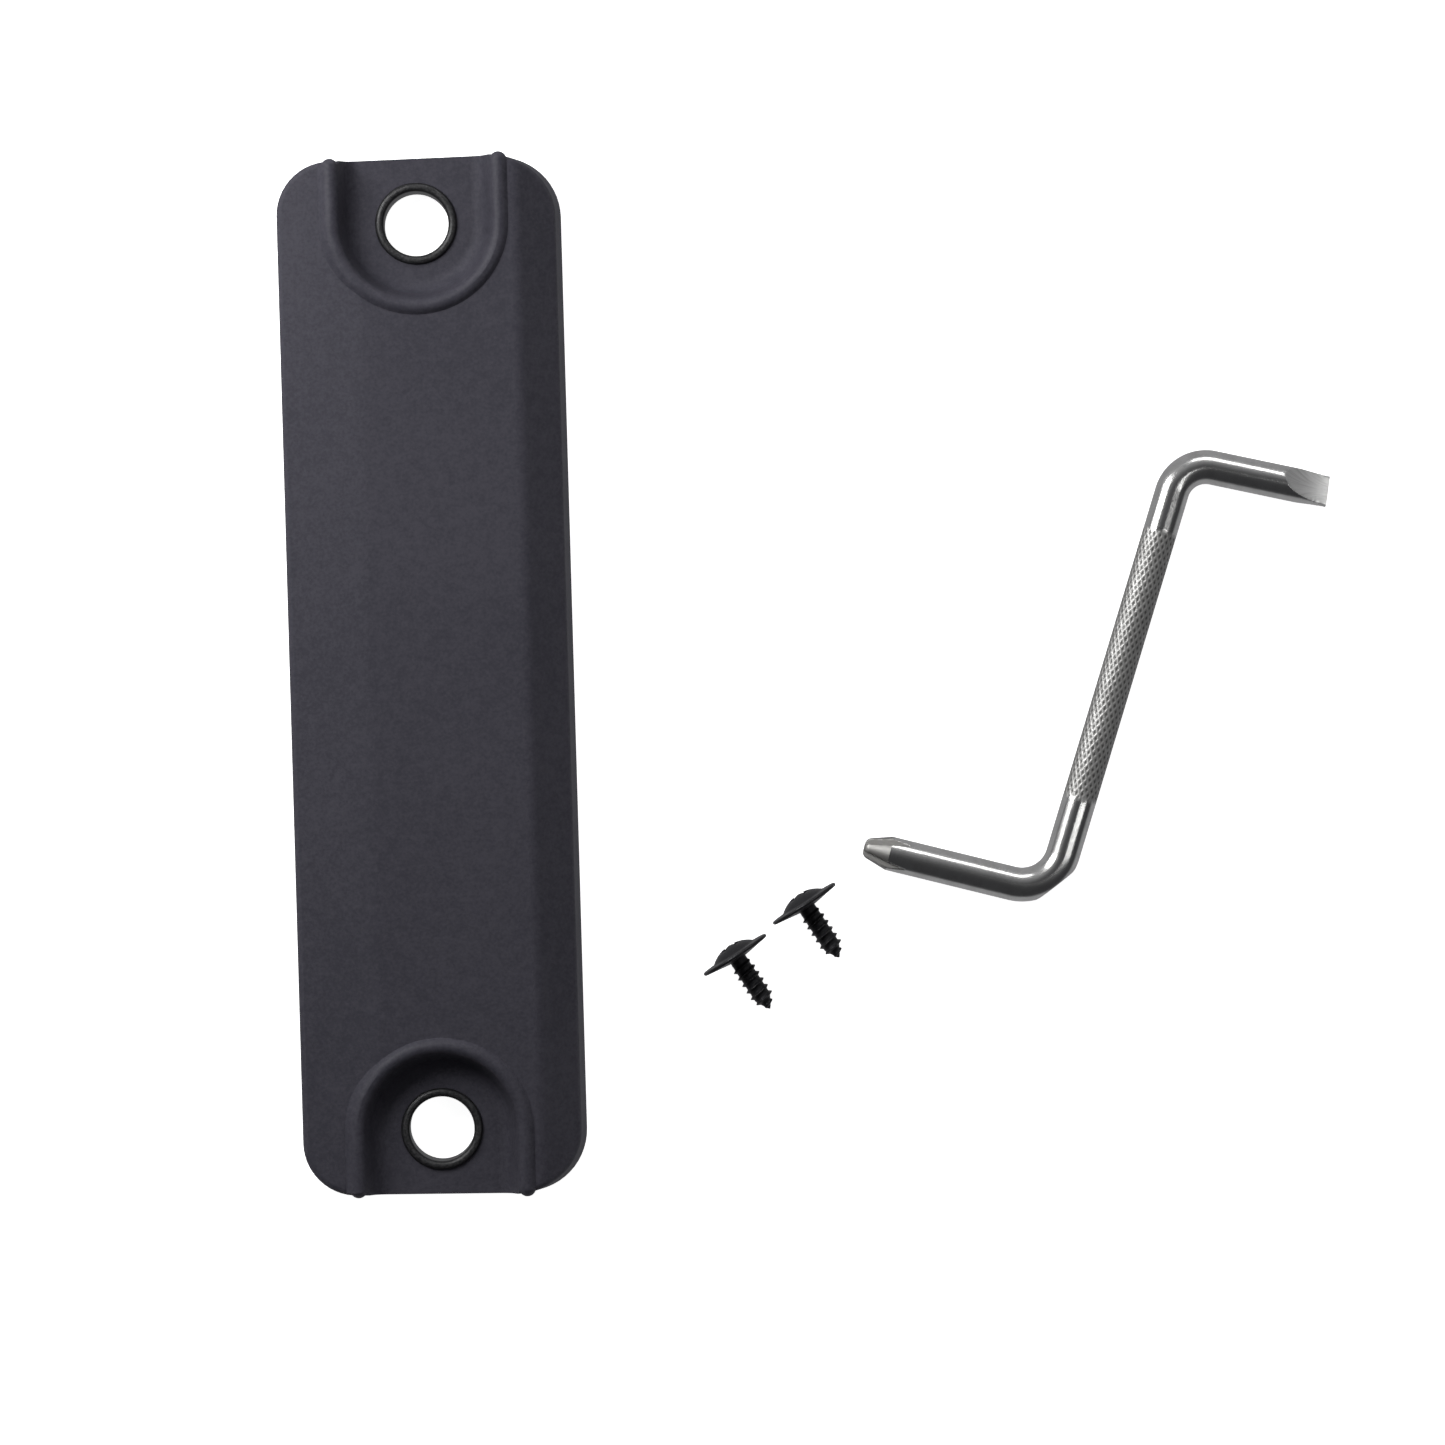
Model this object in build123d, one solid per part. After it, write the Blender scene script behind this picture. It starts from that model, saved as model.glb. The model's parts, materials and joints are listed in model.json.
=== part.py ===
from build123d import *
import os
from math import cos, radians, sin, tan

# A cover kit for a tailgate's latch release: a soft rubber cover plate with two metal
# eyelets, the two screws that fix it, and the offset screwdriver that drives them.
#
# Millimetres. The origin lies on the cover's flat back, midway between its two screw
# holes. +X runs across the cover, +Y along it and +Z out of its face. The loose pieces
# lie beside the cover on the plane of its back, Z = 0.

# ---- Cover: overall form ----
cover_length = 120.4  # along its middle
end_slope = 1.05  # degrees; the two ends spread apart towards the bevelled side
cover_width = 33.1
cover_height = 7.5
cover_side_shift = 0.25  # from the line through the holes to the cover's middle, along +X
corner_radius_left = 6.2
corner_radius_right = 7.2
draft_left = 0.3  # how far each wall leans in over the cover's full height
draft_right = 1.1
draft_end = 0.25
crease_x = -7.0  # the face is level from here to the bevel and slopes gently to the left edge
left_edge_drop = 1.1
crease_blend = 10.0
bevel_x = 11.7  # the face turns down into a long bevel here
bevel_run = 4.4
bevel_drop = 3.0
bevel_blend = 2.2
top_edge_radius = 0.7

# ---- Cover: the sunken land and U-shaped bead round each screw hole ----
hole_spacing = 105.0
land_sink = 3.1
bead_centre_radius = 9.74
bead_height = 0.55
bead_crest_radius = 1.0
bead_foot_angle = 42.0
bead_root_depth = 0.4  # the bead's section reaches this far into the face
land_wall_angle = 70.0
land_fillet = 1.8
nub_proud = 0.3  # each leg of the bead stands out past the top of the end wall by this much
nub_start_height = 0.6

# ---- Cover: hollow back ----
skin_thickness = 2.1
wall_thickness = 2.4
pocket_end_wall = 2.6  # rubber left between the pocket and the bead's round end
pocket_corner_radius = 2.5
pocket_ceiling_fillet = 0.8
rib_thickness = 1.2
rib_height = 1.0
rib_pitch = 12.5
ribs_each_side = 2
press_pad_length = 16.0
press_pad_width = 9.0
press_pad_gap = 1.2  # the pad stops this far short of the plane of the back

# ---- Eyelets: pressed steel, one in each screw hole ----
eyelet_bore_radius = 3.75
eyelet_wall = 0.45
eyelet_roll_radius = 0.5  # half-round rolled rim on the face side
eyelet_foot_width = 1.0
eyelet_foot_thickness = 0.6
eyelet_clearance = 0.03

# ---- Screws: wafer head, cross recess, tapping thread ----
screw_length = 6.8
screw_flange_overlap = 0.05  # the head reaches this far past the crest of the eyelet's rim
screw_flange_thickness = 0.42
screw_flange_dish = 0.45  # the underside falls this far from the rim to the shank
screw_dome_radius = 2.75
screw_dome_height = 1.0
screw_thread_radius = 1.3
screw_root_radius = 0.98
screw_pitch = 0.9
screw_tip_length = 1.6
recess_depth = 1.2
recess_play = 0.15  # between the cross tip and the recess it turns
screw_angle = -58.5  # direction from head to tip, from +X
screw_places = {"screw_1": (43.1, -28.2), "screw_2": (34.9, -33.9)}

# ---- Offset driver: round rod bent into a Z, a flat tip above and a cross tip below ----
rod_radius = 2.0
shaft_length = 52.6  # between the corners of the centre line
flat_arm_length = 17.5
cross_arm_length = 22.5
flat_arm_angle = 95.0  # inside angle between the arm and the shaft
cross_arm_angle = 93.0
flat_bend_radius = 4.1
cross_bend_radius = 5.0
blade_length = 5.4
blade_thickness = 0.6
blade_twist = 30.0  # about the arm, the upper ground face turned towards +Y
cross_cone_length = 3.0
cross_end_radius = 1.05
flute_length = 5.2
flute_root_radius = 0.55
flute_angle = 92.0
press_flat_depth = 0.55  # the press has flattened the outside of the lower bend
press_flat_turn = 8.0  # from the middle of the bend towards the shaft
driver_place = (80.0, -2.35)
driver_turn = -18.4

# ---- Sizes that follow from the ones above ----
half_length = cover_length / 2
hole_y = hole_spacing / 2
hole_to_end = half_length - hole_y
left_x = cover_side_shift - cover_width / 2
right_x = cover_side_shift + cover_width / 2
land_z = cover_height - land_sink
crest_z = cover_height + bead_height
clear_z = crest_z + 5.0
left_slope = left_edge_drop / (crease_x - left_x)
bevel_slope = bevel_drop / bevel_run
eyelet_barrel_radius = eyelet_bore_radius + eyelet_wall
eyelet_foot_radius = eyelet_barrel_radius + eyelet_foot_width
screw_flange_radius = eyelet_bore_radius + eyelet_roll_radius + screw_flange_overlap
wing_thickness = flute_root_radius * 2**0.5


def end_reach(x):
    """How far the end wall stands from the cover's middle line across, at its foot."""
    return half_length + (x - cover_side_shift) * tan(radians(end_slope))


def outline(left, right, inset):
    """Plan of the cover between two side walls, with larger corners on the bevelled side."""
    left_reach = end_reach(left) - inset
    right_reach = end_reach(right) - inset
    ends = [(left, -left_reach), (right, -right_reach), (right, right_reach), (left, left_reach)]
    plan = make_face(Polyline(*ends, close=True))
    left_corners = plan.vertices().group_by(Axis.X)[0]
    plan = fillet(left_corners, corner_radius_left)
    right_corners = plan.vertices().group_by(Axis.X)[-1]
    return fillet(right_corners, corner_radius_right)


def cover_blank():
    """The cover's outer form: drafted walls under a face that slopes left and bevels right."""
    foot = outline(left_x, right_x, 0)
    head = outline(left_x + draft_left, right_x - draft_right, draft_end)
    block = loft([foot, Pos(0, 0, cover_height) * head], ruled=True)
    beyond = cover_width
    section = Polyline(
        (left_x - beyond, -1),
        (left_x - beyond, cover_height - left_slope * (crease_x - left_x + beyond)),
        (crease_x, cover_height),
        (bevel_x, cover_height),
        (bevel_x + beyond, cover_height - bevel_slope * beyond),
        (bevel_x + beyond, -1 - bevel_slope * beyond),
        close=True,
    )
    face = Plane.XZ * make_face(section)
    crease = face.vertices().sort_by_distance((crease_x, 0, cover_height))[0]
    face = fillet(crease, crease_blend)
    bevel = face.vertices().sort_by_distance((bevel_x, 0, cover_height))[0]
    face = fillet(bevel, bevel_blend)
    blank = block & extrude(face, amount=cover_length, both=True)
    inner_left = left_x + corner_radius_left
    inner_right = bevel_x + 2
    upper = blank.edges().filter_by(lambda e: e.center().Z > cover_height / 2)
    rim = upper.filter_by(lambda e: abs(e.center().Y) > 1 or not inner_left < e.center().X < inner_right)
    return fillet(rim, top_edge_radius)


def swept_round_eye(profile, leg_length):
    """Sweeps a section along the U: half a turn about the hole, then straight legs to the end."""
    bend = revolve(profile, Axis.Z, 180)
    leg = extrude(profile, leg_length)
    return [bend, leg, mirror(leg, Plane.YZ)]


def eye_profiles():
    """Sections of the bead and of the sunken space inside it, from the hole's axis outward."""
    lean = radians(land_wall_angle)
    foot = radians(bead_foot_angle)
    crest = (bead_centre_radius, crest_z)
    wall_top_x = bead_centre_radius - bead_crest_radius * sin(lean)
    wall_top_z = crest_z - bead_crest_radius * (1 - cos(lean))
    wall_foot_z = land_z + land_fillet * (1 - cos(lean))
    wall_foot_x = wall_top_x - (wall_top_z - wall_foot_z) / tan(lean)
    land_radius = wall_foot_x - land_fillet * sin(lean)
    land_edge = (land_radius, land_z)
    sunk = make_face(
        [
            Line((0, land_z), land_edge),
            TangentArc(land_edge, (wall_foot_x, wall_foot_z), tangent=(1, 0)),
            Line((wall_foot_x, wall_foot_z), (wall_top_x, wall_top_z)),
            TangentArc(crest, (wall_top_x, wall_top_z), tangent=(-1, 0)),
            Line(crest, (bead_centre_radius, clear_z)),
            Line((bead_centre_radius, clear_z), (0, clear_z)),
            Line((0, clear_z), (0, land_z)),
        ]
    )
    outer_x = bead_centre_radius + bead_crest_radius * sin(foot)
    outer_z = crest_z - bead_crest_radius * (1 - cos(foot))
    root_z = cover_height - bead_root_depth
    root_x = outer_x + (outer_z - root_z) / tan(foot)
    inner_x = bead_centre_radius - bead_crest_radius
    bead = make_face(
        [
            Line((inner_x, root_z), (inner_x, crest_z)),
            Line((inner_x, crest_z), crest),
            TangentArc(crest, (outer_x, outer_z), tangent=(1, 0)),
            Line((outer_x, outer_z), (root_x, root_z)),
            Line((root_x, root_z), (inner_x, root_z)),
        ]
    )
    return Plane.XZ * bead, Plane.XZ * sunk


def nub(side):
    """The round end of a bead's leg, at the lower end of the cover. It runs down the end wall."""
    x = side * bead_centre_radius
    column_top = crest_z - bead_crest_radius
    half_section = make_face(
        [
            Line((0, nub_start_height), (bead_crest_radius, nub_start_height)),
            Line((bead_crest_radius, nub_start_height), (bead_crest_radius, column_top)),
            TangentArc((bead_crest_radius, column_top), (0, crest_z), tangent=(0, 1)),
            Line((0, crest_z), (0, nub_start_height)),
        ]
    )
    reach = end_reach(x) - draft_end + nub_proud
    return Pos(x, bead_crest_radius - reach, 0) * revolve(Plane.XZ * half_section, Axis.Z)


def at_both_ends(piece):
    """A piece at the lower hole, made about the hole's axis, and its mirror image at the upper one."""
    lower = Pos(0, -hole_y, 0) * piece
    return [lower, mirror(lower, Plane.XZ)]


def pocket():
    """The hollow in the back, with its ceiling parallel to the face and the bevel."""
    floor_z = cover_height - skin_thickness
    inner_left = left_x + wall_thickness
    inner_right = right_x - draft_right - wall_thickness
    reach = hole_y - bead_centre_radius - bead_crest_radius - pocket_end_wall
    turn_x = bevel_x - 0.5 * skin_thickness
    side_z = floor_z - bevel_slope * (inner_right - turn_x)
    section = Polyline(
        (inner_left, -1),
        (inner_left, floor_z),
        (turn_x, floor_z),
        (inner_right, side_z),
        (inner_right, -1),
        close=True,
    )
    face = Plane.XZ * make_face(section)
    ceiling_edge = face.vertices().sort_by_distance((inner_left, 0, floor_z))[0]
    face = fillet(ceiling_edge, pocket_ceiling_fillet)
    plan = Pos((inner_left + inner_right) / 2, 0, -1) * RectangleRounded(
        inner_right - inner_left, 2 * reach, pocket_corner_radius
    )
    return extrude(face, reach, both=True) & extrude(plan, cover_height + 1)


def pocket_fittings():
    """Stiffening ribs across the ceiling and the pad that bears on the release switch."""
    floor_z = cover_height - skin_thickness
    embed = skin_thickness / 2
    pieces = []
    rib_width = cover_width - 2 * wall_thickness - draft_right - corner_radius_left
    for side in (-1, 1):
        for step in range(ribs_each_side):
            y = side * (press_pad_width / 2 + rib_pitch * (step + 0.6))
            rib = Box(rib_width, rib_thickness, rib_height + embed)
            pieces.append(Pos(0, y, floor_z + (embed - rib_height) / 2) * rib)
    pad_plan = SlotOverall(press_pad_length, press_pad_width)
    pad = extrude(Pos(0, 0, press_pad_gap) * pad_plan, floor_z + embed - press_pad_gap)
    foot = pad.faces().sort_by(Axis.Z)[0]
    pieces.append(fillet(foot.edges(), 1.0))
    return pieces


def cover():
    """The one-piece rubber cover."""
    bead, sunk = eye_profiles()
    body = cover_blank()
    bead_leg = end_reach(bead_centre_radius) - draft_end + nub_proud - bead_crest_radius - hole_y
    for piece in swept_round_eye(bead, bead_leg):
        for half in at_both_ends(piece):
            body += half
    for piece in swept_round_eye(sunk, hole_to_end + 5):
        for half in at_both_ends(piece):
            body -= half
    for side in (-1, 1):
        body += nub(side)
        body += mirror(nub(side), Plane.XZ)
    body -= pocket()
    for piece in pocket_fittings():
        body += piece
    for half in at_both_ends(Cylinder(eyelet_barrel_radius + eyelet_clearance, 3 * cover_height)):
        body -= half
    for half in at_both_ends(Cylinder(eyelet_foot_radius + eyelet_clearance, 2 * eyelet_foot_thickness)):
        body -= half
    return body


def eyelet():
    """A barrel with a rolled rim on the land and a flat foot let into the back."""
    roll_centre = eyelet_bore_radius + eyelet_roll_radius
    roll_edge = eyelet_bore_radius + 2 * eyelet_roll_radius
    section = make_face(
        [
            Line((eyelet_bore_radius, 0), (eyelet_bore_radius, land_z)),
            ThreePointArc(
                (eyelet_bore_radius, land_z),
                (roll_centre, land_z + eyelet_roll_radius),
                (roll_edge, land_z),
            ),
            Line((roll_edge, land_z), (eyelet_barrel_radius, land_z)),
            Line((eyelet_barrel_radius, land_z), (eyelet_barrel_radius, eyelet_foot_thickness)),
            Line((eyelet_barrel_radius, eyelet_foot_thickness), (eyelet_foot_radius, eyelet_foot_thickness)),
            Line((eyelet_foot_radius, eyelet_foot_thickness), (eyelet_foot_radius, 0)),
            Line((eyelet_foot_radius, 0), (eyelet_bore_radius, 0)),
        ]
    )
    return revolve(Plane.XZ * section, Axis.Z)


def screw():
    """A screw standing on its axis: the head's underside at Z = 0, the tip below."""
    rim_low = screw_flange_dish
    rim_high = rim_low + screw_flange_thickness
    edge = screw_flange_radius
    half_rim = screw_flange_thickness / 2
    dome_foot_z = rim_high + 0.1
    dome_top_z = dome_foot_z + screw_dome_height
    points = [(0, -screw_length)]
    body_end = -screw_length + screw_tip_length
    turns = int((screw_length - screw_tip_length - screw_pitch / 2) / screw_pitch)
    # The lower turns shrink over the point.
    points.append((0.12, -screw_length + 0.1))
    points.append((0.55 * screw_root_radius, body_end - 0.5 * screw_tip_length))
    points.append((0.72 * screw_thread_radius, body_end - 0.36 * screw_tip_length))
    points.append((0.8 * screw_root_radius, body_end - 0.24 * screw_tip_length))
    for turn in range(turns):
        crest = body_end + turn * screw_pitch
        points.append((screw_root_radius, crest - 0.22 * screw_pitch))
        points.append((screw_thread_radius, crest - 0.04 * screw_pitch))
        points.append((screw_thread_radius, crest + 0.04 * screw_pitch))
        points.append((screw_root_radius, crest + 0.22 * screw_pitch))
    points.append((screw_root_radius, 0))
    outline_line = Polyline(*points)
    section = make_face(
        [
            outline_line,
            Line((screw_root_radius, 0), (edge - half_rim, rim_low)),
            ThreePointArc(
                (edge - half_rim, rim_low),
                (edge, rim_low + half_rim),
                (edge - half_rim, rim_high),
            ),
            Line((edge - half_rim, rim_high), (screw_dome_radius, dome_foot_z)),
            ThreePointArc(
                (screw_dome_radius, dome_foot_z),
                (0.62 * screw_dome_radius, dome_foot_z + 0.66 * screw_dome_height),
                (0, dome_top_z),
            ),
            Line((0, dome_top_z), (0, -screw_length)),
        ]
    )
    solid = revolve(Plane.XZ * section, Axis.Z)
    cone_slope = (rod_radius - cross_end_radius) / cross_cone_length
    pit_length = 2 * cross_end_radius + recess_play
    cut_height = recess_depth + 0.5
    mouth_length = pit_length + 2 * cut_height * cone_slope
    arm_width = wing_thickness + recess_play
    mouth = Pos(0, 0, dome_top_z - recess_depth + cut_height) * Rectangle(mouth_length, arm_width)
    pit = Pos(0, 0, dome_top_z - recess_depth) * Rectangle(pit_length, arm_width)
    arm = loft([mouth, pit], ruled=True)
    return solid - Rot(0, 0, 45) * arm - Rot(0, 0, 135) * arm


def laid_screw(place):
    """A screw on its side, its rim on the plane of the back."""
    tip_down = Rot(0, 0, screw_angle) * Rot(0, -90, 0)
    return Pos(place[0], place[1], screw_flange_radius) * tip_down * screw()


def offset_driver():
    """The bent rod with its two ground tips, lying on the plane of the back."""
    bottom = Vector(0, -shaft_length / 2)
    top = Vector(0, shaft_length / 2)
    cross_direction = Vector(0, 1).rotate(Axis.Z, cross_arm_angle)
    flat_direction = Vector(0, -1).rotate(Axis.Z, flat_arm_angle)
    cross_end = bottom + cross_direction * (cross_arm_length - cross_cone_length)
    flat_end = top + flat_direction * flat_arm_length
    path = FilletPolyline(cross_end, bottom, top, flat_end, radius=[cross_bend_radius, flat_bend_radius])
    rod = sweep(Plane(cross_end, z_dir=-cross_direction) * Circle(rod_radius), path=path)

    cross_plane = Plane(cross_end, z_dir=cross_direction)
    cone = Cone(rod_radius, cross_end_radius, cross_cone_length)
    rod += cross_plane * Pos(0, 0, cross_cone_length / 2) * cone
    tip_plane = cross_plane * Pos(0, 0, cross_cone_length)
    flute_rise = (rod_radius - flute_root_radius) / flute_length
    half_flute = radians(flute_angle / 2)
    height = 2 * rod_radius
    wedge = Polyline(
        (0, 0),
        (height, height * tan(half_flute)),
        (height, -height * tan(half_flute)),
        close=True,
    )
    for quarter in range(4):
        turned = tip_plane * Rot(0, 0, 45 + 90 * quarter)
        near = turned * Pos(flute_root_radius - flute_rise, 0, 1) * make_face(wedge)
        far = turned * Pos(rod_radius + flute_rise, 0, -flute_length - 1) * make_face(wedge)
        rod -= loft([near, far], ruled=True)

    bend_half = radians(cross_arm_angle / 2)
    bend_inward = Vector(0, 1).rotate(Axis.Z, cross_arm_angle / 2)
    bend_centre = bottom + bend_inward * (cross_bend_radius / sin(bend_half))
    press_way = (-bend_inward).rotate(Axis.Z, press_flat_turn)
    press_plane = Plane(bend_centre, z_dir=press_way)
    press_gap = cross_bend_radius + rod_radius - press_flat_depth
    pressed_away = Box(8 * rod_radius, 8 * rod_radius, 2 * rod_radius)
    rod -= press_plane * Pos(0, 0, press_gap + rod_radius) * pressed_away

    blade_plane = Plane(flat_end, x_dir=flat_direction, z_dir=(0, 0, 1)) * Rot(-blade_twist, 0, 0)
    half_tip = blade_thickness / 2
    grind_radius = (blade_length**2 + (rod_radius - half_tip) ** 2) / (2 * (rod_radius - half_tip))
    for side in (-1, 1):
        wheel = Cylinder(grind_radius, 3 * rod_radius)
        centre = blade_plane * Pos(0, 0, side * (half_tip + grind_radius)) * Rot(90, 0, 0)
        rod -= centre * wheel
    return Pos(driver_place[0], driver_place[1], rod_radius) * Rot(0, 0, driver_turn) * rod


parts = {
    "cover": cover(),
    "eyelet_upper": Pos(0, hole_y, 0) * eyelet(),
    "eyelet_lower": Pos(0, -hole_y, 0) * eyelet(),
    "screw_1": laid_screw(screw_places["screw_1"]),
    "screw_2": laid_screw(screw_places["screw_2"]),
    "offset_driver": offset_driver(),
}

os.makedirs("parts", exist_ok=True)
for name, shape in parts.items():
    solid = shape.solids()[0] if len(shape.solids()) == 1 else shape
    solid.label = name
    export_step(solid, f"parts/{name}.step")
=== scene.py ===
import json
from math import cos, pi, radians, sin, sqrt, tan

import bmesh
import bpy
from mathutils import Matrix, Vector


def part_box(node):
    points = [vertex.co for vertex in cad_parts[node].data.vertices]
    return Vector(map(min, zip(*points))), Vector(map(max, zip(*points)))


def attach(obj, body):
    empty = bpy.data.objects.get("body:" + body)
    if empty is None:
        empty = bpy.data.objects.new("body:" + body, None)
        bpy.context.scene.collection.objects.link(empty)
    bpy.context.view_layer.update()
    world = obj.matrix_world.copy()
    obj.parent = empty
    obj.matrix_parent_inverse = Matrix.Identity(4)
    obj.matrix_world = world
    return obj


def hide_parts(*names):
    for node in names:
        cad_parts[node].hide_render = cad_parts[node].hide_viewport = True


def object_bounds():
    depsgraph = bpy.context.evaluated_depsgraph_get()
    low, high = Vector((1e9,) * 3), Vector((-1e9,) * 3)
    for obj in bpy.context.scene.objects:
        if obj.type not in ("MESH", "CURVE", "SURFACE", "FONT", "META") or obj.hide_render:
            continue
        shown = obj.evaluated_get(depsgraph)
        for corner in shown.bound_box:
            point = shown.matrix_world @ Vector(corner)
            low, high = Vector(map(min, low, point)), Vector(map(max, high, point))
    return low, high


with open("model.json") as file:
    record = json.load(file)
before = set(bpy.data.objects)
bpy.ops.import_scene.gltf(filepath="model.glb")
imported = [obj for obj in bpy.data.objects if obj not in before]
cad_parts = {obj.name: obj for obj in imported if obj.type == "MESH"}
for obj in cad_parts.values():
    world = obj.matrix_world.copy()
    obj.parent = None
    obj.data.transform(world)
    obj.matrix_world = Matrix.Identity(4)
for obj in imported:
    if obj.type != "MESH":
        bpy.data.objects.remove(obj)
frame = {"nodes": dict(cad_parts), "record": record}
cad_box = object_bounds()


# ---------------------------------------------------------------------------------------
# Cover. One soft black rubber moulding, pressed to reach the release switch behind it.
# Its face has a fine matt grain from the mould, and the top of the raised bead is rubbed
# a little smoother by handling.
# ---------------------------------------------------------------------------------------

MM = 0.001


class Wire:
    """A number, colour or vector inside a finish. Arithmetic on it adds Math nodes."""

    def __init__(self, finish, socket):
        self.finish = finish
        self.socket = socket

    def math(self, operation, *others):
        sockets = dict(enumerate((self, *others)))
        return self.finish.node("ShaderNodeMath", {"operation": operation}, sockets)

    def __add__(self, other):
        return self.math("ADD", other)

    def __sub__(self, other):
        return self.math("SUBTRACT", other)

    def __rsub__(self, other):
        return self.math("MULTIPLY_ADD", -1.0, other)

    def __mul__(self, other):
        return self.math("MULTIPLY", other)

    def __abs__(self):
        return self.math("ABSOLUTE")

    __radd__ = __add__
    __rmul__ = __mul__

    def rise(self, low, high):
        """0 below low, 1 above high, with a soft slope between them."""
        settings = {"interpolation_type": "SMOOTHSTEP"}
        return self.finish.node("ShaderNodeMapRange", settings, {"Value": self, 1: low, 2: high})


class Finish:
    """A procedural material or backdrop. Every node in it is added by node()."""

    def __init__(self, name, kind=bpy.data.materials):
        self.material = kind.new(name)
        self.material.use_nodes = True
        self.tree = self.material.node_tree
        self.tree.nodes.clear()

    def node(self, kind, settings, sockets, output=0):
        """Adds one node: its settings first, then a value or a link for each socket."""
        added = self.tree.nodes.new(kind)
        for name, value in settings.items():
            setattr(added, name, value)
        for name, value in sockets.items():
            if isinstance(value, Wire):
                self.tree.links.new(value.socket, added.inputs[name])
            else:
                added.inputs[name].default_value = value
        return None if output is None else Wire(self, added.outputs[output])

    def place(self):
        """Where a point of the piece lies in the frame, in metres."""
        return self.node("ShaderNodeTexCoord", {}, {}, "Object")

    def number(self, name):
        """A number stored on the piece's points."""
        return self.node("ShaderNodeAttribute", {"attribute_name": name}, {}, "Fac")

    def axis(self, place, letter):
        return self.node("ShaderNodeSeparateXYZ", {}, {"Vector": place}, letter)

    def speckle(self, place, size, detail=2.0, roughness=0.5):
        """Soft random variation, around 0.5, with features of about the given size."""
        sockets = {"Vector": place, "Scale": 1 / size, "Detail": detail, "Roughness": roughness}
        return self.node("ShaderNodeTexNoise", {}, sockets, "Fac")

    def blend(self, amount, one, other):
        """Mixes two colours; amount 0 gives the first."""
        sockets = {0: amount, 6: one, 7: other}
        return self.node("ShaderNodeMix", {"data_type": "RGBA"}, sockets, 2)

    def relief(self, height, depth, strength=1.0, under=None):
        """Turns a height between 0 and 1 into a surface normal, depth metres deep."""
        sockets = {"Height": height, "Distance": depth, "Strength": strength}
        if under:
            sockets["Normal"] = under
        return self.node("ShaderNodeBump", {}, sockets)

    def surface(self, **sockets):
        """The shader itself. Socket names are written with underscores."""
        named = {name.replace("_", " "): value for name, value in sockets.items()}
        shader = self.node("ShaderNodeBsdfPrincipled", {}, named)
        self.node("ShaderNodeOutputMaterial", {}, {"Surface": shader}, None)


def dress(node, material):
    """Gives a piece carried over from the CAD its finish."""
    mesh = frame["nodes"][node].data
    mesh.materials.clear()
    mesh.materials.append(material)


rubber_dark = (0.030, 0.029, 0.039, 1)
rubber_light = (0.045, 0.043, 0.055, 1)
grain_depth = 0.05 * MM
handled_depth = 0.5 * MM      # handling has smoothed the bead this far down from its top
bead_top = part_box("cover")[1].z

rubber = Finish("moulded_rubber")
place = rubber.place()
grain = rubber.speckle(place, 0.38 * MM, detail=3.0, roughness=0.6)
mottle = rubber.speckle(place, 1.3 * MM, detail=3.0, roughness=0.65)
cloud = rubber.speckle(place, 18 * MM)
tone = grain * 0.45 + mottle * 0.35 + cloud * 0.2
handled = rubber.axis(place, "Z").rise(bead_top - handled_depth, bead_top)
rubber.surface(
    Base_Color=rubber.blend(tone.rise(0.35, 0.65), rubber_dark, rubber_light),
    Roughness=0.64 + mottle * 0.12 - handled * 0.14,
    Specular_IOR_Level=0.22,
    Normal=rubber.relief(grain + mottle * 0.6, grain_depth, 0.75),
)
dress("cover", rubber.material)


# ---------------------------------------------------------------------------------------
# Eyelets. A pressed steel barrel lines each screw hole, so the screw clamps on metal and
# not on rubber. The rim is rolled over on the face; black coating, thin on the roll.
# ---------------------------------------------------------------------------------------

eyelet_coating = (0.009, 0.009, 0.010, 1)
rubbed_coating = (0.07, 0.069, 0.071, 1)
rubbed_depth = 0.22 * MM      # the coating is thin this far down from the top of the roll
rim_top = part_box("eyelet_upper")[1].z

eyelet_black = Finish("coated_eyelet_steel")
place = eyelet_black.place()
speck = eyelet_black.speckle(place, 0.25 * MM, detail=3.0)
on_roll = eyelet_black.axis(place, "Z").rise(rim_top - rubbed_depth, rim_top)
rubbed = on_roll * speck.rise(0.35, 0.7)
eyelet_black.surface(
    Base_Color=eyelet_black.blend(rubbed * 0.6, eyelet_coating, rubbed_coating),
    Roughness=0.38 + speck * 0.14,
    Metallic=rubbed * 0.35,
    Specular_IOR_Level=0.35,
    Normal=eyelet_black.relief(speck, 0.012 * MM, 0.5),
)
for eyelet in ("eyelet_upper", "eyelet_lower"):
    dress(eyelet, eyelet_black.material)


# ---------------------------------------------------------------------------------------
# Screws. Two wafer-head tapping screws: a wide thin flange under a low dome with a cross
# recess, and a rolled thread that runs out over a sharp point. Blackened steel, faintly
# oily, with bare metal just showing on the thread's crest.
# ---------------------------------------------------------------------------------------

screw_length = 6.8 * MM
thread_radius = 1.3 * MM
thread_root = 0.98 * MM
thread_pitch = 0.9 * MM
thread_crest = 0.06 * MM      # width of the thread's narrow top
thread_flank = 0.22 * MM      # how far each flank spreads along the axis
crest_height = 0.05 * MM      # the top of the thread, where the coating has worn
point_length = 1.6 * MM
point_fullness = 0.8          # below 1, the point is rounder than a cone
thread_runout = 0.88 * MM     # the thread fades over this length at the point
thread_start = 0.25 * MM      # plain neck under the head
coating_thickness = 0.02 * MM
shank_in_head = 0.3 * MM      # the shank starts this far inside the head
head_below_seat = 0.06 * MM   # the head is cut off this far below its seat
ring_step = 0.045 * MM
ring_points = 96
mounts = {mount["name"]: mount for mount in frame["record"]["mounts"]}


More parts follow.
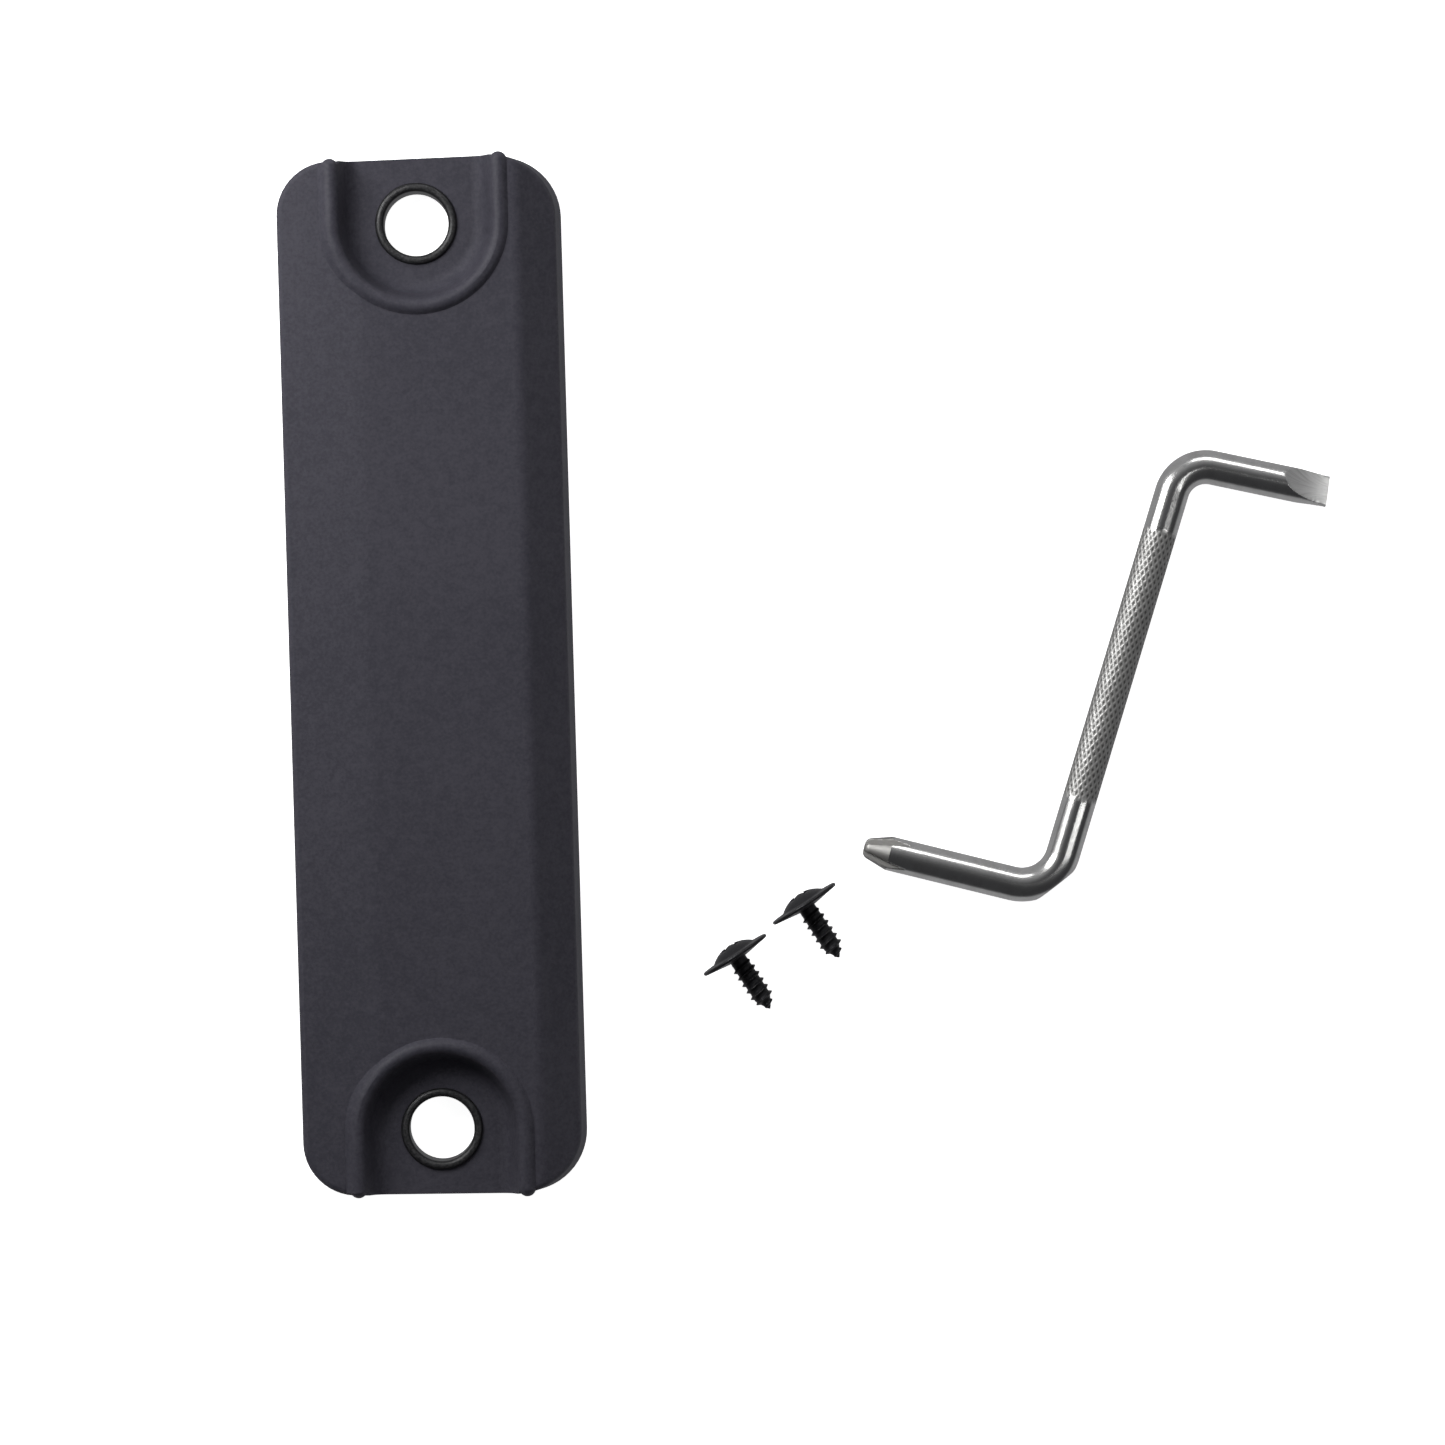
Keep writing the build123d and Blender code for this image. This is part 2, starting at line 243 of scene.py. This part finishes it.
def skin(rings):
    """Closed mesh through rings of points, with a flat cap on the first and the last."""
    mesh = bmesh.new()
    rows = [[mesh.verts.new(point) for point in ring] for ring in rings]
    for row, following in zip(rows, rows[1:]):
        for i in range(len(row)):
            j = (i + 1) % len(row)
            mesh.faces.new((row[i], row[j], following[j], following[i]))
    mesh.faces.new(rows[0][::-1])
    mesh.faces.new(rows[-1])
    return mesh


def share(value):
    """The value kept between 0 and 1."""
    return min(max(value, 0.0), 1.0)


def thread_profile(depth, turn):
    """Radius of the threaded shank at a depth under the head and a part of a turn."""
    to_point = screw_length - depth
    core = thread_root * share(to_point / point_length) ** point_fullness
    phase = (depth / thread_pitch + turn) % 1.0
    off_crest = min(phase, 1.0 - phase) * thread_pitch
    tooth = share(1.0 - (off_crest - thread_crest / 2) / thread_flank)
    start = share((depth - thread_start) / thread_pitch)
    end = share(to_point / thread_runout)
    return core + (thread_radius - thread_root) * tooth * start * end + coating_thickness


def shank_rings():
    """Rings of points down the threaded shank, which points along -Z from its seat at 0."""
    rings = []
    whole = screw_length + shank_in_head
    steps = int(whole / ring_step)
    for step in range(steps + 1):
        depth = step * whole / steps - shank_in_head
        ring = []
        for i in range(ring_points):
            turn = i / ring_points
            radius = thread_profile(max(depth, 0.0), turn)
            ring.append((radius * cos(2 * pi * turn), radius * sin(2 * pi * turn), -depth))
        rings.append(ring)
    return rings


def cad_head(node, seat, outward):
    """The head of a screw carried over from the CAD, cut off below its seat and capped."""
    head = bmesh.new()
    head.from_mesh(frame["nodes"][node].data)
    bmesh.ops.remove_doubles(head, verts=head.verts, dist=1e-7)
    parts = head.verts[:] + head.edges[:] + head.faces[:]
    below = seat + outward * head_below_seat
    cut = bmesh.ops.bisect_plane(
        head, geom=parts, plane_co=below, plane_no=outward, clear_outer=True
    )
    rim = [edge for edge in cut["geom_cut"] if isinstance(edge, bmesh.types.BMEdge)]
    bmesh.ops.holes_fill(head, edges=rim)
    return head


def mark(mesh, name, values):
    """Stores one number for each point of a mesh, for its finish to read."""
    mesh.attributes.new(name, "FLOAT", "POINT").data.foreach_set("value", values)


def on_crest(reach, outward):
    """1 on the top of the thread, 0 elsewhere; reach is from the head's seat."""
    along = reach.dot(outward)
    off_axis = (reach - outward * along).length
    return float(along > 0 and off_axis > thread_radius - crest_height)


screw_coating = (0.016, 0.016, 0.018, 1)
bare_steel = (0.12, 0.117, 0.115, 1)

screw_black = Finish("blackened_screw_steel")
place = screw_black.place()
speck = screw_black.speckle(place, 0.3 * MM, detail=4.0, roughness=0.6)
cloud = screw_black.speckle(place, 2.0 * MM)
bare = screw_black.number("crest") * speck.rise(0.4, 0.65)
screw_black.surface(
    Base_Color=screw_black.blend(bare * 0.5, screw_coating, bare_steel),
    Metallic=0.6,
    Roughness=0.30 + speck * 0.2 + cloud * 0.08,
    Normal=screw_black.relief(speck, 0.02 * MM, 0.5),
)

for screw, body in (("screw_1", "first_screw"), ("screw_2", "second_screw")):
    thread = mounts[screw + "_thread"]
    seat = Vector(thread["pos_m"])
    outward = Vector(thread["axis"]).normalized()
    across = Vector((0, 0, 1))
    turned = Matrix((across, -outward.cross(across), -outward)).transposed().to_4x4()
    shank = skin(shank_rings())
    bmesh.ops.transform(shank, matrix=Matrix.Translation(seat) @ turned, verts=shank.verts)
    joined = bpy.data.meshes.new("threaded_" + screw)
    shank.to_mesh(joined)
    head = cad_head(screw, seat, outward)
    head.from_mesh(joined)
    bmesh.ops.recalc_face_normals(head, faces=head.faces)
    head.to_mesh(joined)
    mark(joined, "crest", [on_crest(vertex.co - seat, outward) for vertex in joined.vertices])
    joined.set_sharp_from_angle(angle=radians(38))
    joined.materials.append(screw_black.material)
    piece = bpy.data.objects.new("threaded_" + screw, joined)
    bpy.context.scene.collection.objects.link(piece)
    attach(piece, body)
    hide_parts(screw)


# ---------------------------------------------------------------------------------------
# Offset driver. One length of round steel rod: tips ground and formed, shaft rolled with
# crossing ridges, both ends bent over in a press, then plated bright. The press has
# flattened the outside of the lower bend.
# ---------------------------------------------------------------------------------------

rod_radius = 2.0 * MM
cross_arm_length = 22.5 * MM
flat_arm_length = 17.5 * MM
cross_bend_radius = 5.0 * MM
flat_bend_radius = 4.1 * MM
press_flat_depth = 0.55 * MM
press_flat_turn = radians(8)  # from the middle of the bend towards the shaft
cross_cone_length = 3.0 * MM
cross_end_radius = 1.05 * MM
cross_nose = 0.55 * MM        # the cross tip's end is rounded over this length
cross_nose_flat = 0.55        # share of the end that stays flat
flute_length = 5.2 * MM
flute_root_radius = 0.55 * MM
flute_half_angle = radians(46)
flute_turn = radians(45)
flute_edge = 0.01             # in radians, kept clear at each side of a flute
blade_length = 5.4 * MM
blade_half_thickness = 0.3 * MM
blade_twist = 30 / 360        # part of a turn by which the blade leans out of level
knurl_from_cross_corner = 11.1 * MM
knurl_from_flat_corner = 8.3 * MM
knurl_depth = 0.085 * MM
knurl_pit_edge = 0.8          # share of a pit's half width that its sloping side takes up
knurl_starts = 18             # ridges of each hand, counted round the rod
knurl_angle = radians(30)     # of the ridges to the rod's axis
knurl_fade = 0.7 * MM
least_cut = 0.01 * MM         # a tip's finish starts where at least this much is cut away
fine_margin = 0.2 * MM        # fine rings go on this far past a shaped end
tip_step = 0.07 * MM
knurl_step = 0.09 * MM
plain_step = 0.3 * MM
end_slack = 0.02 * MM         # the last ring may stop this far short of the rod's end
rod_points = 144

cross_tip = Vector(mounts["driver_cross_tip"]["pos_m"])
cross_out = Vector(mounts["driver_cross_tip"]["axis"]).normalized()
flat_tip = Vector(mounts["driver_flat_tip"]["pos_m"])
flat_out = Vector(mounts["driver_flat_tip"]["axis"]).normalized()
cross_corner = cross_tip - cross_out * cross_arm_length
flat_corner = flat_tip - flat_out * flat_arm_length
shaft_out = (flat_corner - cross_corner).normalized()
shaft_length = (flat_corner - cross_corner).length


class RodRoute:
    """The rod's centre line: three straight runs joined by two tangent arcs."""

    def __init__(self):
        self.cross_turn = cross_out.angle(-shaft_out)
        self.flat_turn = shaft_out.angle(flat_out)
        self.cross_set = cross_bend_radius * tan(self.cross_turn / 2)
        self.flat_set = flat_bend_radius * tan(self.flat_turn / 2)
        self.run_a = cross_arm_length - self.cross_set
        self.arc_a = cross_bend_radius * self.cross_turn
        self.run_b = shaft_length - self.cross_set - self.flat_set
        self.arc_b = flat_bend_radius * self.flat_turn
        self.run_c = flat_arm_length - self.flat_set
        self.length = self.run_a + self.arc_a + self.run_b + self.arc_b + self.run_c
        self.shaft_start = self.run_a + self.arc_a - self.cross_set
        self.up = Vector((0, 0, 1))

    def at(self, s):
        """Point and direction at a distance s from the cross tip."""
        if s <= self.run_a:
            return cross_tip - cross_out * s, -cross_out
        s -= self.run_a
        if s <= self.arc_a:
            return self.on_arc(cross_corner, -cross_out, self.cross_set, cross_bend_radius, s, 1)
        s -= self.arc_a
        if s <= self.run_b:
            return cross_corner + shaft_out * (self.cross_set + s), shaft_out
        s -= self.run_b
        if s <= self.arc_b:
            return self.on_arc(flat_corner, shaft_out, self.flat_set, flat_bend_radius, s, -1)
        s -= self.arc_b
        return flat_corner + flat_out * (self.flat_set + s), flat_out

    def on_arc(self, corner, way, setback, radius, s, hand):
        """A point on a bend; hand 1 turns to the left of way, -1 to the right."""
        side = self.up.cross(way) * hand
        centre = corner - way * setback + side * radius
        angle = s / radius
        point = centre + way * radius * sin(angle) - side * radius * cos(angle)
        return point, (way * cos(angle) + side * sin(angle)).normalized()


route = RodRoute()


def triangle(value):
    """0 at whole numbers, 1 halfway between them."""
    return 1 - abs(2 * (value % 1.0) - 1)


knurl_start = route.shaft_start + knurl_from_cross_corner
knurl_end = route.shaft_start + shaft_length - knurl_from_flat_corner
knurl_lead = 2 * pi * rod_radius / tan(knurl_angle)


def knurl_cut(s, turn):
    """How deep the knurl is cut at a place on the shaft, and how far into the knurl it is."""
    amount = share(min(s - knurl_start, knurl_end - s) / knurl_fade)
    right = triangle(knurl_starts * (turn + s / knurl_lead))
    left = triangle(knurl_starts * (turn - s / knurl_lead))
    pit = share(min(right, left) / knurl_pit_edge)
    return knurl_depth * amount * pit, amount


def cross_tip_radius(s, turn):
    """Radius of the cone with its four flutes, a distance s from the cross tip."""
    cone = cross_end_radius + (rod_radius - cross_end_radius) * s / cross_cone_length
    rounding = sqrt(1 - share(1 - s / cross_nose) ** 2)
    radius = min(rod_radius, cone * (cross_nose_flat + (1 - cross_nose_flat) * rounding))
    root = flute_root_radius + (rod_radius - flute_root_radius) * s / flute_length
    quarter = (turn * 2 * pi - flute_turn) % (pi / 2)
    off_root = min(quarter, pi / 2 - quarter)
    if off_root < flute_half_angle - flute_edge:
        radius = min(radius, root * sin(flute_half_angle) / sin(flute_half_angle - off_root))
    return radius


def blade_radius(s, turn):
    """Radius where the grinding wheel has flattened the rod, a distance s from the blade's end."""
    ground_away = rod_radius - blade_half_thickness
    wheel = (blade_length ** 2 + ground_away ** 2) / (2 * ground_away)
    half = blade_half_thickness + wheel - sqrt(wheel ** 2 - s ** 2)
    height = abs(sin(2 * pi * (turn - blade_twist)))
    return min(rod_radius, half / max(height, 1e-6))


def rod_stations():
    """Distances along the rod at which it gets a ring of points: closer where detail is fine."""
    tip_end = flute_length + fine_margin
    blade_start = route.length - blade_length - fine_margin
    stations = [0.0]
    while stations[-1] < route.length - end_slack:
        s = stations[-1]
        if s < tip_end or s > blade_start:
            step = tip_step
        elif knurl_start - knurl_fade < s < knurl_end + knurl_fade:
            step = knurl_step
        else:
            step = plain_step
        stations.append(min(s + step, route.length))
    return stations


def rod_rings(stations):
    """Rings of points round the rod, shaped by the knurl, the tips and the press."""
    press_place = route.arc_a / 2 + press_flat_turn * cross_bend_radius
    press_point, press_run = route.at(route.run_a + press_place)
    press_way = press_run.cross(route.up).normalized()
    press_limit = rod_radius - press_flat_depth
    rings = []
    for s in stations:
        centre, way = route.at(s)
        side = way.cross(route.up).normalized()
        ring = []
        for i in range(rod_points):
            turn = i / rod_points
            radius = rod_radius - knurl_cut(s, turn)[0]
            if s < flute_length:
                radius = min(radius, cross_tip_radius(s, turn))
            if s > route.length - blade_length:
                radius = min(radius, blade_radius(route.length - s, turn))
            point = centre + (side * cos(2 * pi * turn) + route.up * sin(2 * pi * turn)) * radius
            proud = (point - press_point).dot(press_way) - press_limit
            if proud > 0:
                point = point - press_way * proud
            ring.append(point)
        rings.append(ring)
    return rings


def is_ground(s, turn):
    """True on the blade's ground flats."""
    to_end = route.length - s
    return to_end < blade_length and blade_radius(to_end, turn) < rod_radius - least_cut


def is_fluted(s, turn):
    """True on the cross tip's cone and in its flutes."""
    return s < flute_length and cross_tip_radius(s, turn) < rod_radius - least_cut


stations = rod_stations()
rod = skin(rod_rings(stations))
bmesh.ops.recalc_face_normals(rod, faces=rod.faces)
rod_mesh = bpy.data.meshes.new("offset_driver_rod")
rod.to_mesh(rod_mesh)
spots = [(s, i / rod_points) for s in stations for i in range(rod_points)]
knurling = [knurl_cut(s, turn) for s, turn in spots]
mark(rod_mesh, "along", [s for s, turn in spots])
mark(rod_mesh, "around", [triangle(turn) * pi * rod_radius for s, turn in spots])
mark(rod_mesh, "knurled", [amount for cut, amount in knurling])
mark(rod_mesh, "pit", [cut / knurl_depth for cut, amount in knurling])
mark(rod_mesh, "ground", [float(is_ground(s, turn)) for s, turn in spots])
mark(rod_mesh, "fluted", [float(is_fluted(s, turn)) for s, turn in spots])
rod_mesh.set_sharp_from_angle(angle=radians(40))

bright = (0.62, 0.62, 0.61, 1)
# dull steel for real haze, pits and grinding, also used as painted shade on the flutes and the
# knurl
dull_and_shaded_steel = (0.30, 0.295, 0.285, 1)
# painted shade for the bottoms of the knurl's pits
painted_pit_shade = (0.07, 0.069, 0.067, 1)

plated = Finish("bright_plated_steel")
place = plated.place()
along = plated.number("along")
around = plated.number("around")
in_knurl = plated.number("knurled")
in_pit = plated.number("pit")
on_ground = plated.number("ground")
on_flute = plated.number("fluted")
drawn_place = plated.node("ShaderNodeCombineXYZ", {}, {"X": along * 0.04, "Y": around})
drawn = plated.speckle(drawn_place, 0.12 * MM, detail=3.0)
grind_place = plated.node("ShaderNodeCombineXYZ", {}, {"X": along * 0.05, "Y": around})
grind = plated.speckle(grind_place, 0.2 * MM, detail=3.0, roughness=0.65)
haze = plated.speckle(place, 1.6 * MM, detail=4.0, roughness=0.6)
pits = plated.speckle(place, 0.22 * MM).rise(0.62, 0.75)
scored = on_ground * grind.rise(0.42, 0.68) * 0.45
hazy = haze.rise(0.3, 0.75) * (0.3 - on_ground * 0.2)
# haze, pits and grinding streaks are real wear; the flutes and the knurl are also darkened towards
# dull steel as painted shade, dimming their reflections
wear_and_shade = hazy + pits * 0.2 + scored + on_flute + in_knurl * 0.45
steel = plated.blend(wear_and_shade, bright, dull_and_shaded_steel)
plated.surface(
    # the knurl's pits are darkened with painted shade, most at their deepest
    Base_Color=plated.blend(in_pit.rise(0.35, 1.0) * 0.8, steel, painted_pit_shade),
    Metallic=1.0,
    Roughness=0.15 + haze * 0.08 + drawn * 0.06
    + on_ground * 0.26 + on_flute * 0.28 + in_knurl * 0.32,
    Normal=plated.relief(
        drawn * (1 - on_ground) * 0.5 + grind * on_ground, 0.012 * MM, 0.6,
        plated.relief(haze, 0.02 * MM, 0.3),
    ),
)
rod_mesh.materials.append(plated.material)
driver = bpy.data.objects.new("offset_driver_rod", rod_mesh)
bpy.context.scene.collection.objects.link(driver)
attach(driver, "driver")
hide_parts("offset_driver")


# ---------------------------------------------------------------------------------------
# Table, lights and camera.

low, high = cad_box
middle = (Vector(low) + Vector(high)) / 2
table_half = 1.5
table_gap = 0.02 * MM         # keeps the table's top clear of the faces that lie on it
table_dull = (0.93, 0.93, 0.93, 1)
table_clean = (0.95, 0.95, 0.95, 1)

table_white = Finish("white_table")
table_tone = table_white.speckle(table_white.place(), 60 * MM)
table_white.surface(
    Base_Color=table_white.blend(table_tone, table_dull, table_clean),
    Roughness=0.75,
    Specular_IOR_Level=0.2,
    Emission_Color=(1.0, 1.0, 1.0, 1),
    Emission_Strength=0.95,
)
table = bmesh.new()
bmesh.ops.create_grid(table, x_segments=8, y_segments=8, size=table_half)
table_mesh = bpy.data.meshes.new("table")
table.to_mesh(table_mesh)
table_mesh.materials.append(table_white.material)
table_top = bpy.data.objects.new("table", table_mesh)
table_top.location = (middle.x, middle.y, low[2] - table_gap)
bpy.context.scene.collection.objects.link(table_top)
table_top.visible_glossy = False    # steel shows the grey room at its edges, not the glare


def soft_light(name, way, distance, size, power):
    """The power is in watts."""
    lamp = bpy.data.lights.new(name, "AREA")
    lamp.shape = "RECTANGLE"
    lamp.size, lamp.size_y = size
    lamp.energy = power
    box = bpy.data.objects.new(name, lamp)
    box.location = middle + Vector(way).normalized() * distance
    box.rotation_euler = (-Vector(way)).to_track_quat("-Z", "Y").to_euler()
    bpy.context.scene.collection.objects.link(box)


soft_light("left_soft_box", (-0.61, 0.42, 0.54), distance=0.25, size=(0.09, 0.14), power=0.57)
soft_light("far_strip", (0.2, 0.82, 0.52), distance=0.6, size=(0.35, 0.11), power=0.7)
soft_light("right_strip", (0.52, -0.17, 0.84), distance=0.6, size=(0.022, 0.35), power=0.2)

near_wall = (0.05, 0.05, 0.053, 1)
far_wall = (0.38, 0.38, 0.39, 1)
below_table = (0.40, 0.40, 0.41, 1)

studio = Finish("studio", bpy.data.worlds)
way = studio.node("ShaderNodeTexCoord", {}, {}, "Generated")
lit_side = studio.axis(way, "Y") * 0.8 + abs(studio.axis(way, "X")) * 0.15
room = studio.blend(lit_side.rise(-0.05, 0.75), near_wall, far_wall)
above = studio.axis(way, "Z").rise(-0.12, 0.08)
surroundings = studio.blend(above, below_table, room)
glow = studio.node("ShaderNodeBackground", {}, {"Color": surroundings, "Strength": 1.0})
studio.node("ShaderNodeOutputWorld", {}, {"Surface": glow}, None)
bpy.context.scene.world = studio.material
bpy.context.scene.view_settings.view_transform = "Standard"

lens = bpy.data.cameras.new("camera")
lens.sensor_width = 36.0
lens.lens = 149.3
camera = bpy.data.objects.new("camera", lens)
camera.location = (19.66 * MM, -3.34 * MM, 700 * MM)
camera.rotation_euler = (radians(-0.212), radians(-1.177), radians(-1.641))
bpy.context.scene.collection.objects.link(camera)
bpy.context.scene.camera = camera
